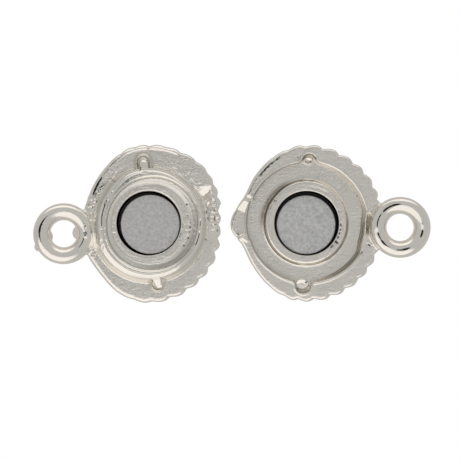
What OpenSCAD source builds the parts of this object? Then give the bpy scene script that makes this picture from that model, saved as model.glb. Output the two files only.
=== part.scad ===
// Magnetic clasp in the form of a scallop shell, lying open.
// Two cast halves lie on their domed backs with their mating faces up. The plug
// half has a raised ring, the socket half the recess that takes it, and each
// holds a disc magnet and ends in a cast-on loop. To close the clasp the socket
// half is turned over about X and set on the plug half.
// In each half's own frame the mating face is z = 0, the magnet's centre is the
// origin, and +X points to the middle of the fan.

/* [Shell] */
// Radius of the fan edge about the magnet's centre
shell_r = 7.9; // [7.4:0.1:9]
// Depth of each half from its mating face to the bottom of its domed back
shell_depth = 3.8; // [3.6:0.1:5]
// Depth below the mating face at which the shell is widest
edge_depth = 0.35; // [0.25:0.05:0.5]
// Width of the rounded lip round the mating face
lip_w = 0.3; // [0.1:0.05:0.5]
// Height of the ribs at the fan edge
rib_height = 0.3; // [0.1:0.05:0.4]
// Ribs that would fill a full turn; only those of the fan are cast
ribs_per_turn = 32; // [24:1:36]

/* [Magnets] */
// Diameter of each disc magnet
magnet_d = 6; // [5:0.1:6.2]
// Thickness of each disc magnet
magnet_t = 2; // [1.5:0.1:2.1]
// Radial clearance between a magnet and its bore
magnet_gap = 0.22; // [0.18:0.02:0.3]
// Depth of the plug magnet's face below the mating face
plug_magnet_sink = 0.4; // [0.2:0.1:0.8]
// Depth of the socket magnet's face below the mating face
socket_magnet_sink = 0.8; // [0.6:0.1:0.9]

/* [Plug ring] */
// Height of the ring's crest above the mating face
ring_h = 1.05; // [0.8:0.05:1.1]
// Radius of the ring's crest
ring_r = 4.85; // [4.7:0.05:5]
// Width of the ring at its foot
ring_w = 1.1; // [0.9:0.05:1.2]
// Radius of the ledge that the ring stands on
ledge_r = 5.74; // [5.6:0.02:5.76]
// Height of the ledge above the mating face
ledge_h = 0.42; // [0.3:0.02:0.5]
// Height of the floor inside the ring above the mating face
seat_h = 0.2; // [0.1:0.02:0.28]
// Distance that the ring is cast off the magnet's centre, towards the fan
ring_shift = 0.12; // [0:0.02:0.14]

/* [Key tabs] */
// Distance that the two tabs' feet reach from the ring's centre
tab_reach = 6.88; // [6.6:0.02:6.9]
// Width of each tab
tab_w = 0.85; // [0.7:0.05:1]
// Distance that a tab's foot stands out beyond the tab
tab_flare = 0.18; // [0.1:0.02:0.24]
// Height of each tab above the mating face
tab_h = 0.85; // [0.7:0.05:0.9]
// Clearance between a tab's foot and the side of its notch
key_gap = 0.22; // [0.2:0.01:0.26]

/* [Socket recess] */
// Radius of the recess at the mating face
recess_r = 6.05; // [6.04:0.01:6.15]
// Distance that the recess is cast off the magnet's centre, towards the beak
recess_shift = 0.08; // [0:0.01:0.09]
// Depth of the recess
recess_depth = 1.15; // [1.15:0.05:1.3]
// Taper of the recess wall, from the mating face to the floor
recess_taper = 0.22; // [0.1:0.02:0.24]
// Radius of the boss round the magnet's bore
boss_r = 4.1; // [3.9:0.05:4.15]
// Depth of the boss's top below the mating face
boss_sink = 0.3; // [0.25:0.05:0.5]

/* [Loops] */
// Outer diameter of each loop
loop_d = 6.08; // [5.8:0.02:6.4]
// Diameter of the hole in each loop
loop_hole_d = 2.8; // [2.75:0.05:3.2]
// Thickness of the loop's wire
wire_d = 1.68; // [1.6:0.02:1.7]
// Distance of the plug's loop from the magnet's centre
plug_loop_x = 8.56; // [8.5:0.02:9.2]
// Distance of the socket's loop from the magnet's centre
socket_loop_x = 9.34; // [9.3:0.02:10]

/* [As it lies] */
// Gap between the plug half's fan edge and the socket half's beak
halves_gap = 0.52; // [0.3:0.02:6]
// Angle that the plug half is turned
plug_turn = 7; // [0:1:10]
// Angle that the socket half is turned
socket_turn = -2.5; // [-5:0.5:0]

/* [Hidden] */
$fn = 96;

PLUG = 0;
SOCKET = 1;
silver = "#cfcac1";
magnet_grey = "#a9a9a9";

// Each row is an angle from the fan's axis, then the edge's radius there as a
// share of shell_r: plug above the axis, plug below, socket above, socket below
OUTLINE = [
    [0, 0.940, 0.940, 0.975, 0.975],
    [20, 0.968, 0.940, 0.975, 0.976],
    [40, 1.001, 0.966, 0.990, 0.985],
    [60, 1.000, 0.985, 0.989, 0.991],
    [80, 1.000, 1.003, 0.997, 0.992],
    [100, 0.980, 1.009, 0.989, 0.987],
    [120, 0.900, 0.965, 0.940, 0.924],
    [140, 0.850, 0.893, 0.890, 0.871],
    [160, 0.836, 0.876, 0.864, 0.865],
    [180, 0.880, 0.880, 1.000, 1.000],
];
ROW_STEP = 20;
ROWS_PER_TURN = 360 / ROW_STEP;

// Angles from the fan's axis between which the ribs fade out
RIB_FULL = 84;
RIB_END = 122;
rib_pitch = 360 / ribs_per_turn;
// Angle of the first rib beside the fan's axis, as a share of the pitch
RIB_PHASE = -0.35;
RAYS_PER_RIB = 4;
rays = ribs_per_turn * RAYS_PER_RIB;

// The ribs run from this point, as a share of shell_r behind the centre
HINGE = 0.6;
// Rings of the domed back, as shares of the way from the hinge point to the edge
DOME_RINGS = [1, 0.975, 0.94, 0.89, 0.82, 0.74, 0.65, 0.55, 0.44, 0.33, 0.22, 0.11];
// The dome rises past the shell's depth by this share, and is cut flat there
DOME_OVER = 1.05;
DOME_POWER = 2.2;
DOME_ROUND = 0.7;

bore_r = magnet_d / 2 + magnet_gap;
// Play between a magnet's back and the floor of its bore
back_gap = 0.03;
// Where each magnet lies off the centre of its bore, as shares of its clearance
PLUG_MAGNET_OFF = [0.6, -0.62];
SOCKET_MAGNET_OFF = [-0.2, -0.74];

// Sinks the foot of what is cast on a half into its body
root = 1;
bevel = 0.15;
tab_foot_w = tab_w + 2 * tab_flare;
tab_foot_h = 0.6 * ledge_h;
notch_w = tab_foot_w + 2 * key_gap;
notch_reach = tab_reach + key_gap;
// A low bump lies in each notch, under the end of its tab
bump_r = notch_w / 2 - key_gap;
bump_h = 0.2;

loop_r = (loop_d - wire_d) / 2;
// A loop's wire lies half in its own half and half in the other's pocket
pocket_depth = wire_d / 2 + 0.07;
pocket_top_play = 0.22;
pocket_floor_play = -0.48;
// The plug's pocket also clears the wall between the socket's recess and loop
plug_pocket_extra = 0.65;
eps = 0.05;

function smooth_step(t) = let (c = min(1, max(0, t))) c * c * (3 - 2 * c);

// Share of shell_r at the table's row i, counted round the shell from the axis
function row_share(half, i) =
    let (
        wrapped = (i + 2 * ROWS_PER_TURN) % ROWS_PER_TURN,
        below = wrapped > ROWS_PER_TURN / 2,
        row = below ? ROWS_PER_TURN - wrapped : wrapped
    )
    OUTLINE[row][1 + 2 * half + (below ? 1 : 0)];

// Radius of the plain outline at an angle, on a smooth curve through the rows
function plain_r(half, a) =
    let (
        i = floor(a / ROW_STEP),
        t = a / ROW_STEP - i,
        p0 = row_share(half, i - 1),
        p1 = row_share(half, i),
        p2 = row_share(half, i + 1),
        p3 = row_share(half, i + 2)
    )
    shell_r * (p1 + t * (p2 - p0) / 2
        + t * t * (2 * p0 - 5 * p1 + 4 * p2 - p3) / 2
        + t * t * t * (3 * p1 - p0 - 3 * p2 + p3) / 2);

// Depth of the valley between ribs, from 0 on a crest
function valley(a) =
    let (off_axis = a > 180 ? 360 - a : a)
    rib_height * smooth_step((RIB_END - off_axis) / (RIB_END - RIB_FULL))
        * (1 - abs(cos(180 * (a / rib_pitch - RIB_PHASE))));

function at(r, a) = [r * cos(a), r * sin(a)];
hinge = [-HINGE * shell_r, 0];
ray_angles = [for (j = [0:rays - 1]) (j / RAYS_PER_RIB + RIB_PHASE + 1) * rib_pitch];

// Depth of the dome where u runs from 0 at the centre to 1 at the edge
function dome_depth(u) =
    edge_depth + (DOME_OVER * shell_depth - edge_depth)
        * pow(max(0, 1 - pow(u, DOME_POWER)), DOME_ROUND);

function dome_point(half, a, s) =
    let (
        plain = hinge + s * (at(plain_r(half, a), a) - hinge),
        plain_a = (atan2(plain.y, plain.x) + 360) % 360,
        u = min(1, norm(plain) / plain_r(half, plain_a)),
        groove = valley(a) * smooth_step(2 * s) * (1 - pow(s, 6)),
        ribbed = hinge + s * (at(plain_r(half, a) - valley(a), a) - hinge)
    )
    [ribbed.x, ribbed.y, -min(shell_depth, dome_depth(u) - (s < 1 ? groove : 0))];

function lip_ring(half, inset, z) =
    [for (a = ray_angles) let (p = at(plain_r(half, a) - valley(a) - inset, a)) [p.x, p.y, z]];

function ring_faces(rings) =
    [for (k = [0:rings - 2], j = [0:rays - 1])
        let (n = (j + 1) % rays, lo = k * rays, hi = lo + rays)
        each [[lo + j, lo + n, hi + j], [lo + n, hi + n, hi + j]]];

// The body of a half: flat mating face, rounded lip and ribbed domed back
module shell_body(half) {
    dome = [for (s = DOME_RINGS) [for (a = ray_angles) dome_point(half, a, s)]];
    ring_list = concat(
        [lip_ring(half, lip_w, 0), lip_ring(half, 0.3 * lip_w, -0.35 * edge_depth)], dome);
    rings = len(ring_list);
    top = rings * rays;
    bottom = top + 1;
    last = (rings - 1) * rays;
    face_top = [for (j = [0:rays - 1]) [(j + 1) % rays, j, top]];
    face_bottom = [for (j = [0:rays - 1]) [last + j, last + (j + 1) % rays, bottom]];
    polyhedron(
        points = concat([for (ring = ring_list) each ring], [[0, 0, 0], dome_point(half, 0, 0)]),
        faces = concat(face_top, ring_faces(rings), face_bottom),
        convexity = 6);
}

// A straight bar with a round outer end, from the ring's crest out along +Y
module key_slot(w, reach, h) {
    translate([0, reach - w / 2, 0]) cylinder(d = w, h = h);
    translate([-w / 2, ring_r, 0]) cube([w, reach - w / 2 - ring_r, h]);
}

module both_keys() {
    children();
    rotate(180) children();
}

module plug_ring() {
    foot_in = ring_r - ring_w / 2;
    foot_out = ring_r + ring_w / 2;
    crest = 0.1 * ring_w;
    shoulder = 0.25 * ring_w;
    translate([ring_shift, 0, 0]) rotate_extrude() polygon([
        [bore_r - 2 * magnet_gap, -root],
        [bore_r - 2 * magnet_gap, seat_h],
        [foot_in, seat_h],
        [ring_r - shoulder, ring_h - bevel],
        [ring_r - crest, ring_h],
        [ring_r + crest, ring_h],
        [ring_r + shoulder, ring_h - bevel],
        [foot_out, ledge_h],
        [ledge_r - bevel, ledge_h],
        [ledge_r, ledge_h - bevel],
        [ledge_r, -root],
    ]);
}

module key_tabs() {
    translate([ring_shift, 0, 0]) both_keys() {
        translate([0, 0, -root]) key_slot(tab_foot_w, tab_reach, root + tab_foot_h);
        translate([0, 0, -root]) key_slot(tab_w, tab_reach - tab_flare, root + tab_h);
    }
}

module loop(x) {
    translate([x, 0, 0]) rotate_extrude() translate([loop_r, 0]) circle(d = wire_d);
}

module loop_hole(x) {
    translate([x, 0, -wire_d]) cylinder(d = loop_hole_d, h = 2 * wire_d);
}

// Takes the upper half of the other loop's root when the clasp is closed
module loop_pocket(x, extra) {
    top_r = loop_d / 2 + pocket_top_play + extra;
    floor_r = loop_d / 2 + pocket_floor_play + extra;
    slope = (top_r - floor_r) / pocket_depth;
    translate([x, 0, -pocket_depth])
        cylinder(r1 = floor_r, r2 = top_r + slope * eps, h = pocket_depth + eps);
}

module magnet_bore(sink) {
    floor_z = -sink - magnet_t - back_gap;
    translate([0, 0, floor_z]) cylinder(r = bore_r, h = -floor_z + ring_h);
}

module plug_half() {
    color(silver) difference() {
        union() {
            difference() {
                shell_body(PLUG);
                loop_pocket(socket_loop_x, plug_pocket_extra);
            }
            plug_ring();
            key_tabs();
            loop(-plug_loop_x);
        }
        magnet_bore(plug_magnet_sink);
        loop_hole(-plug_loop_x);
    }
}

module socket_recess() {
    translate([-recess_shift, 0, 0]) difference() {
        union() {
            translate([0, 0, -recess_depth])
                cylinder(r1 = recess_r - recess_taper,
                    r2 = recess_r + recess_taper * eps / recess_depth, h = recess_depth + eps);
            translate([0, 0, -recess_depth]) both_keys()
                key_slot(notch_w, notch_reach, recess_depth + eps);
        }
        translate([0, 0, -recess_depth - eps])
            cylinder(r = boss_r, h = recess_depth - boss_sink + eps);
    }
}

module notch_bumps() {
    bump_y = notch_reach - notch_w / 2;
    translate([-recess_shift, 0, 0]) both_keys() translate([0, bump_y, -recess_depth - eps])
        cylinder(r1 = bump_r, r2 = bump_r - bump_h, h = bump_h + eps);
}

module socket_half() {
    color(silver) difference() {
        union() {
            difference() {
                shell_body(SOCKET);
                loop_pocket(-plug_loop_x, 0);
                socket_recess();
            }
            notch_bumps();
            loop(socket_loop_x);
        }
        magnet_bore(socket_magnet_sink);
        loop_hole(socket_loop_x);
    }
}

module disc_magnet(sink, off) {
    translate([off.x * magnet_gap, off.y * magnet_gap, -sink - magnet_t])
        color(magnet_grey) cylinder(d = magnet_d, h = magnet_t);
}

// Edge points of a half, turned as it lies, to find its place in the layout
function edge_x(half, turn) =
    [for (a = ray_angles) (plain_r(half, a) - valley(a)) * cos(a + turn)];
function edge_y(half, turn) =
    [for (a = ray_angles) (plain_r(half, a) - valley(a)) * sin(a + turn)];
half_spacing = max(edge_x(PLUG, plug_turn)) + halves_gap - min(edge_x(SOCKET, socket_turn));
top_y = max(max(edge_y(PLUG, plug_turn)), max(edge_y(SOCKET, socket_turn)));
low_y = min(min(edge_y(PLUG, plug_turn)), min(edge_y(SOCKET, socket_turn)));
left_x = -half_spacing / 2 - plug_loop_x * cos(plug_turn) - loop_d / 2;
right_x = half_spacing / 2 + socket_loop_x * cos(socket_turn) + loop_d / 2;
middle = [(left_x + right_x) / 2, (low_y + top_y) / 2];

module lay(side, turn) {
    translate([side * half_spacing / 2 - middle.x, -middle.y, shell_depth]) rotate(turn) children();
}

lay(-1, plug_turn) plug_half();
lay(-1, plug_turn) disc_magnet(plug_magnet_sink, PLUG_MAGNET_OFF);  // plug_magnet
lay(1, socket_turn) socket_half();
lay(1, socket_turn) disc_magnet(socket_magnet_sink, SOCKET_MAGNET_OFF);  // socket_magnet
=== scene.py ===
"""Magnetic clasp in the form of a scallop shell, lying open on a pale floor.

Each cast half is one closed skin found on a field of signed distances. The field
is written in the half's own frame, in millimetres: the mating face is z = 0, the
centre of the magnet's bore is the origin, and +X points to the middle of the fan.
Angles are in degrees from +X, and half is 0 for the plug and 1 for the socket.
"""
import math

import bpy
import numpy as np
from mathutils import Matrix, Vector, noise


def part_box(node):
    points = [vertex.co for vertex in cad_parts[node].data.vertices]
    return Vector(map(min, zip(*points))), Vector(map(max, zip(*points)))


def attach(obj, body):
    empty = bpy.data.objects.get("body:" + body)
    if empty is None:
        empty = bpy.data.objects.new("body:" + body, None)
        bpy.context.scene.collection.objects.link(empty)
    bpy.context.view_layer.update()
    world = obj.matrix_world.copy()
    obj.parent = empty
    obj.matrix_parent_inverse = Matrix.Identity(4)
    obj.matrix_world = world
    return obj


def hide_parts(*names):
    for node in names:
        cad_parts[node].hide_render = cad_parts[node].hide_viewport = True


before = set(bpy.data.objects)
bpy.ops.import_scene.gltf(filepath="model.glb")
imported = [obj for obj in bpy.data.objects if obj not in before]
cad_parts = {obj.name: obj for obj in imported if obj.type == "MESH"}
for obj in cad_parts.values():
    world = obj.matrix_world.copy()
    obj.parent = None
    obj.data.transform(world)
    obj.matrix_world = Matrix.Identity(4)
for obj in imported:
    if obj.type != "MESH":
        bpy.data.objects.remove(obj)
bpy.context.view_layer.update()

MM = 0.001

# The halves as they lie: centre of the bore, turn in degrees, height of the mating face
FACE_Z = 3.8
PLUG_AT = (-8.3172, 0.0549)
PLUG_TURN = 7.0
SOCKET_AT = (7.4823, 0.0549)
SOCKET_TURN = -2.5

# A shell: its radius, depth of the whole and of its edge, and where its ribs meet
SHELL_R = 7.9
SHELL_DEPTH = 3.8
EDGE_DEPTH = 0.35
HINGE_X = -0.6 * SHELL_R

# A bore, its disc magnet, the play under it, and how far below the mating face it lies
BORE_R = 3.22
MAGNET_R = 3.0
MAGNET_T = 2.0
MAGNET_PLAY = 0.03
PLUG_SINK = 0.4
SOCKET_SINK = 0.8

# The loops: radius to the middle of the wire, radius of the wire, and centres
LOOP_MEAN_R = 2.2
WIRE_R = 0.84
PLUG_LOOP_X = -8.56
SOCKET_LOOP_X = 9.34

# The plug's ring: height of its worn crest, and radius of the crest across the ring
CREST_TOP = 0.937
CREST_ROUND = 0.9
RECESS_DEPTH = 1.15

# Direction of the camera's dark spot in the light tent, in radians
LENS_AZIMUTH = math.radians(155)

# Height of a feature at places where it has no metal
NO_METAL = -np.inf

# Angle from the fan's axis, then the edge's radius as a share of SHELL_R: plug
# above the axis, plug below, socket above, socket below
OUTLINE = [
    (0, 0.94, 0.94, 0.975, 0.975),
    (20, 0.968, 0.94, 0.975, 0.976),
    (40, 1.001, 0.966, 0.99, 0.985),
    (60, 1.000, 0.985, 0.989, 0.991),
    (80, 1.000, 1.003, 0.997, 0.992),
    (100, 0.98, 1.009, 0.989, 0.987),
    (120, 0.9, 0.965, 0.94, 0.924),
    (140, 0.85, 0.893, 0.89, 0.871),
    (160, 0.836, 0.876, 0.864, 0.865),
    (180, 0.88, 0.88, 1.000, 1.000),
]


def smooth(t):
    t = np.clip(t, 0.0, 1.0)
    return t * t * (3.0 - 2.0 * t)


def bell(off, width):
    """1 where off is 0, falling to nearly 0 at twice the width on both sides."""
    return np.exp(-((off / width) ** 2))


def angle_round(x, y):
    """Angle of a place round the origin, from 0 to 360."""
    return np.degrees(np.arctan2(y, x)) % 360


def window(x, y, start, end, fade=8):
    """1 between two angles round the origin, fading to 0 outside them."""
    a = np.degrees(np.arctan2(y, x))
    off = np.abs((a - (start + end) / 2 + 180) % 360 - 180)
    return smooth(((end - start) / 2 + fade / 2 - off) / fade)


def beyond(x, y, at, way):
    """How far a place lies beyond the point at, measured along the direction way."""
    return (x - at[0]) * way[0] + (y - at[1]) * way[1]


def join(a, b, k):
    """Union of two fields with a fillet of radius k."""
    return np.maximum(k, np.minimum(a, b)) - np.hypot(np.maximum(k - a, 0), np.maximum(k - b, 0))


def cut(a, b, k):
    """Field a less field b, the edge rounded to radius k."""
    return np.minimum(-k, np.maximum(a, -b)) + np.hypot(np.maximum(k + a, 0), np.maximum(k - b, 0))


def both(a, b, k):
    """What is in both fields, the edge rounded to radius k."""
    return cut(a, -b, k)


def curve(points):
    """Smooth curve through (x, y) points that never overshoots between them."""
    xs = np.array([p[0] for p in points], float)
    ys = np.array([p[1] for p in points], float)
    step = np.diff(xs)
    slope = np.diff(ys) / step
    tangent = np.zeros(len(xs))
    same = slope[:-1] * slope[1:] > 0
    w1, w2 = 2 * step[1:] + step[:-1], step[1:] + 2 * step[:-1]
    safe = np.where(same, slope[:-1] * slope[1:], 1.0)
    mean = (w1 + w2) * safe / (w1 * slope[1:] + w2 * slope[:-1] + 1e-12)
    tangent[1:-1] = np.where(same, mean, 0.0)

    def at(x):
        x = np.clip(x, xs[0], xs[-1])
        i = np.clip(np.searchsorted(xs, x) - 1, 0, len(step) - 1)
        t = (x - xs[i]) / step[i]
        t2, t3 = t * t, t * t * t
        return (
            (2 * t3 - 3 * t2 + 1) * ys[i]
            + (t3 - 2 * t2 + t) * step[i] * tangent[i]
            + (3 * t2 - 2 * t3) * ys[i + 1]
            + (t3 - t2) * step[i] * tangent[i + 1]
        )

    return at


def outline_radius(half):
    """Radius of the plain edge for each whole degree, on the smooth curve of the table."""
    upper = [row[1 + 2 * half] for row in OUTLINE]
    lower = [row[2 + 2 * half] for row in OUTLINE]
    ring = np.array(upper + lower[-2:0:-1])
    a = np.arange(361) / 20.0
    i = np.floor(a).astype(int)
    t = a - i
    n = len(ring)
    p0, p1, p2, p3 = (ring[(i + k) % n] for k in (-1, 0, 1, 2))
    shares = (
        p1
        + t * (p2 - p0) / 2
        + t * t * (2 * p0 - 5 * p1 + 4 * p2 - p3) / 2
        + t * t * t * (3 * p1 - p0 - 3 * p2 + p3) / 2
    )
    return SHELL_R * shares


DEGREES = np.arange(361.0)


def socket_outline():
    """The socket's edge, whose beak was cast blunter, with its tip below the axis."""
    near_tip = np.exp(-(((DEGREES - 182) / 14) ** 2))
    blunt = 1 - 0.016 * np.exp(-(((DEGREES - 184) / 6) ** 2))
    return np.interp(DEGREES - 4 * near_tip, DEGREES, outline_radius(1)) * blunt


PLUG_RADIUS = outline_radius(0)
SOCKET_RADIUS = socket_outline()


def past_edge(x, y, radius):
    """Distance outward from a shell's edge, below 0 inside it."""
    return np.hypot(x, y) - np.interp(angle_round(x, y), DEGREES, radius)


# Valleys between the ribs as they were cast: angle from the fan's axis, then depth
VALLEYS = [
    [(-122, 0.0), (-108, 0.1), (-94, 0.18), (-80, 0.26), (-66, 0.28), (-54, 0.24), (-43, 0.27),
     (-30, 0.4), (-19, 0.36), (-8, 0.3), (3, 0.3), (14, 0.24), (24, 0.16), (33, 0.12),
     (45, 0.14), (58, 0.17), (70, 0.08), (82, 0.2), (93, 0.1), (104, 0.12), (122, 0.0)],
    [(-122, 0.0), (-104, 0.14), (-93, 0.22), (-81, 0.25), (-68, 0.29), (-56, 0.29), (-44, 0.24),
     (-33, 0.28), (-22, 0.28), (-11, 0.28), (0, 0.28), (11, 0.28), (21, 0.28), (31, 0.28),
     (43, 0.27), (54, 0.26), (66, 0.29), (79, 0.28), (92, 0.22), (106, 0.16), (122, 0.0)],
]


def valley(half, a):
    """Depth of the valley between ribs, from 0 on a crest."""
    at, deep = np.array(VALLEYS[half], float).T
    a = np.clip(np.where(a > 180, a - 360, a), -121.9, 121.9)
    n = np.searchsorted(at, a) - 1
    t = (a - at[n]) / (at[n + 1] - at[n])
    depth = deep[n] + t * (deep[n + 1] - deep[n])
    wave = np.sin(np.pi * t)
    return depth * (1 - np.sqrt(wave * wave + 0.01) + 0.005)


class Shell:
    """The body of a half: ribbed domed back under a flat face with a rounded edge."""

    def __init__(self, half):
        self.half = half
        self.radius = PLUG_RADIUS if half == 0 else SOCKET_RADIUS
        x = self.radius * np.cos(np.radians(DEGREES)) - HINGE_X
        y = self.radius * np.sin(np.radians(DEGREES))
        ray = np.degrees(np.unwrap(np.arctan2(y, x)))
        self.ray = ray - ray[0]
        self.reach = np.hypot(x, y)

    def flat(self, x, y):
        """What the field needs of a place in plan: share of the radius, and valley."""
        plain = np.interp(angle_round(x, y), DEGREES, self.radius)
        u = np.hypot(x, y) / plain
        ray = angle_round(x - HINGE_X, y)
        share = np.hypot(x - HINGE_X, y) / np.interp(ray, self.ray, self.reach)
        rib = valley(self.half, np.interp(ray, self.ray, DEGREES))
        groove = rib * smooth(2 * share) * np.minimum(share, 1.0)
        return u, plain, groove

    def field(self, x, y, z):
        u, plain, groove = self.flat(x, y)
        drop = np.maximum(-z - EDGE_DEPTH, 0) / (1.05 * SHELL_DEPTH - EDGE_DEPTH)
        power = 2.2
        dome = (u**power + drop ** (1 / 0.7) - 1) * plain / power + groove
        return both(dome, -z - SHELL_DEPTH, 0.15)


def wire_ring(x, y, z, centre_x, worn, level):
    """A loop of wire, its crest worn to a leaning plane between the angles of each
    pair, and to a level one between the last two angles."""
    wear, deep_wear, fade = 0.13, 0.17, 24
    u = np.hypot(x - centre_x, y) - LOOP_MEAN_R - 0.1 * z
    flat = sum(window(x - centre_x, y, start, end, fade) for start, end in worn)
    lean = 0.09 * np.cos(np.arctan2(y, x - centre_x) - LENS_AZIMUTH)
    clear = WIRE_R + wear
    ring = both(np.hypot(u, z) - WIRE_R, z - (clear - wear * flat - lean * u), 0.12)
    return both(ring, z - (clear - deep_wear * window(x - centre_x, y, *level, fade)), 0.03)


def ball(x, y, z, centre, size):
    """An ellipsoid's field, near its skin."""
    shares = (((v - c) / s) ** 2 for v, c, s in zip((x, y, z), centre, size))
    return (np.sqrt(sum(shares)) - 1) * min(size)


def below(top_at, x, y, z):
    """Field of what lies below a surface of heights, made even by the surface's slope."""
    step = 0.02
    top = top_at(x, y)
    slope = np.hypot(top_at(x + step, y) - top, top_at(x, y + step) - top) / step
    return (z - top) / np.sqrt(1 + slope * slope)


def bore(x, y, z, sink):
    """Field of the hole for a disc magnet that lies that far below the mating face."""
    return np.maximum(np.hypot(x, y) - BORE_R, -z - sink - MAGNET_T - MAGNET_PLAY)


# Plug half: radii of the ring's valley, of the step on its top and of its foot against
# the angle, which run out of true as they were cast
RING_VALLEY = curve([
    (0, 4.91), (20, 4.88), (40, 4.81), (60, 4.68), (90, 4.44), (115, 4.25), (152, 4.13),
    (175, 4.17), (205, 4.34), (240, 4.5), (270, 4.62), (290, 4.73), (320, 4.82), (342, 4.85),
    (360, 4.91),
])
RING_STEP = curve([
    (0, 5.05), (30, 5.12), (80, 5.12), (96, 5.14), (110, 5.02), (120, 4.82), (130, 4.64),
    (141, 4.52), (178, 4.5), (190, 4.64), (205, 4.78), (240, 4.92), (270, 5.0), (325, 5.01),
    (350, 5.01), (360, 5.05),
])
RING_FOOT = curve([
    (0, 5.76), (60, 5.72), (110, 5.74), (140, 5.78), (180, 5.8), (205, 5.96), (240, 6.01),
    (300, 6.03), (335, 5.92), (360, 5.76),
])
# Height above the mating face against the stretched distance from the axis
PLUG_PROFILE = curve([
    (3.0, 0.2), (3.7, 0.2), (3.81, 0.185), (3.87, 0.17), (3.92, 0.21), (3.98, 0.27),
    (4.05, 0.295), (4.18, 0.315), (4.3, 0.345), (4.36, 0.355), (4.4, 0.34), (4.42, 0.4),
    (4.44, 0.56), (4.46, 0.7), (4.48, 0.76), (4.52, 0.8), (4.56, 0.835), (4.6, 0.86),
    (4.64, 0.852), (4.68, 0.838), (4.71, 0.832), (4.77, 0.83), (4.79, 0.85), (4.82, 0.9),
    (4.86, 0.94), (4.9, 0.966), (4.94, 0.975), (5.0, 0.957), (5.06, 0.93), (5.35, 0.81),
    (5.4, 0.775), (5.5, 0.62), (5.65, 0.36), (5.72, 0.2), (5.78, 0.11), (5.82, 0.06),
    (5.87, 0.022), (5.94, 0.0), (9.0, 0.0),
])


def ring_distance(x, y):
    """Distance from the axis, stretched so that the ring's valley, wall, step, top and
    foot come at 4.4, 4.6, 4.8, 4.92 and 5.9 all round, and true distance past its top."""
    a = np.arctan2(y, x)
    r = np.hypot(x, y) + 0.008 * np.sin(8 * a + 2.1) + 0.005 * np.sin(19 * a)
    a = np.degrees(a) % 360
    valley_r, foot_r = RING_VALLEY(a), RING_FOOT(a)
    wall = 0.2 + 0.09 * window(x, y, 40, 110, 40) - 0.08 * window(x, y, 320, 370, 30)
    step_r = np.maximum(RING_STEP(a), valley_r + wall + 0.02)
    flank = 0.12 + 0.07 * window(x, y, 55, 122, 20)
    flank = flank + 0.04 * window(x, y, 126, 182, 10) + 0.04 * window(x, y, 322, 360, 10)
    top_r = step_r + flank
    return np.select(
        [r < valley_r, r < valley_r + wall, r < step_r, r < top_r, r < foot_r],
        [
            3.0 + (r - 3.0) * 1.4 / (valley_r - 3.0),
            4.4 + (r - valley_r) * 0.2 / wall,
            4.6 + (r - valley_r - wall) * 0.2 / (step_r - valley_r - wall),
            4.8 + (r - step_r) * 0.12 / flank,
            4.92 + (r - top_r) * 0.98 / (foot_r - top_r),
        ],
        5.9 + r - foot_r,
    ), r - top_r


def crest_worn(x, y):
    """1 on the four stretches where the ring's crest is worn flat."""
    worn = window(x, y, 130.5, 135.5, 4) + window(x, y, 142.5, 178, 4)
    return worn + window(x, y, 326, 344.5, 4) + window(x, y, 348.5, 358, 3)


def from_line(x, out, at_x, end):
    """Distance from a line that runs outward from the ring's foot, under a finger."""
    start = 5.4
    return np.hypot(x - at_x, np.maximum(out, start) - np.clip(out, start, end))


def upper_finger(x, out):
    """A finger on a low foot with two grooves round it."""
    d = from_line(x, out, 0.2, 6.12)
    foot = 0.28 * smooth((0.9 - d) / 0.22) + 0.06 * bell(d - 0.72, 0.05)
    foot = foot - 0.14 * bell(d - 0.58, 0.07)
    foot = np.where((out > 5.3) & (d < 1.1), foot, NO_METAL)
    d = np.hypot(x - 0.23, np.maximum(out - 6.02, 0)) / 0.46
    finger = 0.99 - 0.33 * (out - 5.05) - 0.45 * (1 - np.clip(1 - d**2.4, 0, 1) ** 0.42)
    return np.maximum(foot, np.where((out > 5.0) & (d < 1), finger, NO_METAL))


def lower_finger(x, out):
    """A wedge-shaped finger with a ridge along one side and a web along the other."""
    middle = 0.13 + 0.16 * (out - 5.6)
    wide = 0.48 - 0.2 * np.clip((out - 5.6) / 0.95, 0, 1)
    d = ((np.abs(x - middle) / wide) ** 4 + (np.maximum(out - 6.2, 0) / 0.42) ** 4) ** 0.25
    finger = 0.88 - 0.36 * (out - 5.4) - 0.5 * (1 - np.clip(1 - d**6, 0, 1) ** (1 / 6))
    finger = np.where((out > 5.3) & (d < 1), finger, NO_METAL)
    d = from_line(x, out, 0.18, 6.15)
    ridge = 0.14 * smooth((0.84 - d) / 0.12) + 0.2 * bell(d - 0.63, 0.09)
    ridge = ridge * (out > 5.4) * smooth((0.75 - x) / 0.3)
    ridge = np.where((out > 5.3) & (np.abs(x - 0.3) < 1.4), ridge, NO_METAL)
    web_wide = np.maximum(1.25 - 0.47 * (out - 5.75) - middle - wide, 0.05)
    across = (x - middle - wide + 0.05) / web_wide
    web = 0.58 * (1 - np.clip(across, 0, 1)) * smooth((6.75 - out) / 0.3)
    web = np.where((across > 0) & (across < 1) & (out > 5.4), web, NO_METAL)
    return np.maximum(finger, np.maximum(ridge, web))


def round_crest(x, y, top, rho, past):
    """Lowers the ring's top to a round hump, its highest line shifted away from the
    camera's dark spot. At the upper side its outer flank is flatter, then steeper."""
    off = np.abs(past - 0.02 + 0.0755 * np.cos(np.arctan2(y, x) - LENS_AZIMUTH))
    low = np.minimum(off, 0.3)
    unworn = 0.07 * (1 - crest_worn(x, y))
    cap = CREST_TOP + unworn - low * (off - 0.5 * low) / CREST_ROUND
    top = np.where(np.abs(past) < 0.5, np.minimum(top, cap), top)
    tread = np.clip(rho - 4.98, 0, 0.37) * smooth((5.48 - rho) / 0.12)
    return top + 0.3 * tread * window(x, y, 40, 112, 20)


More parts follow.
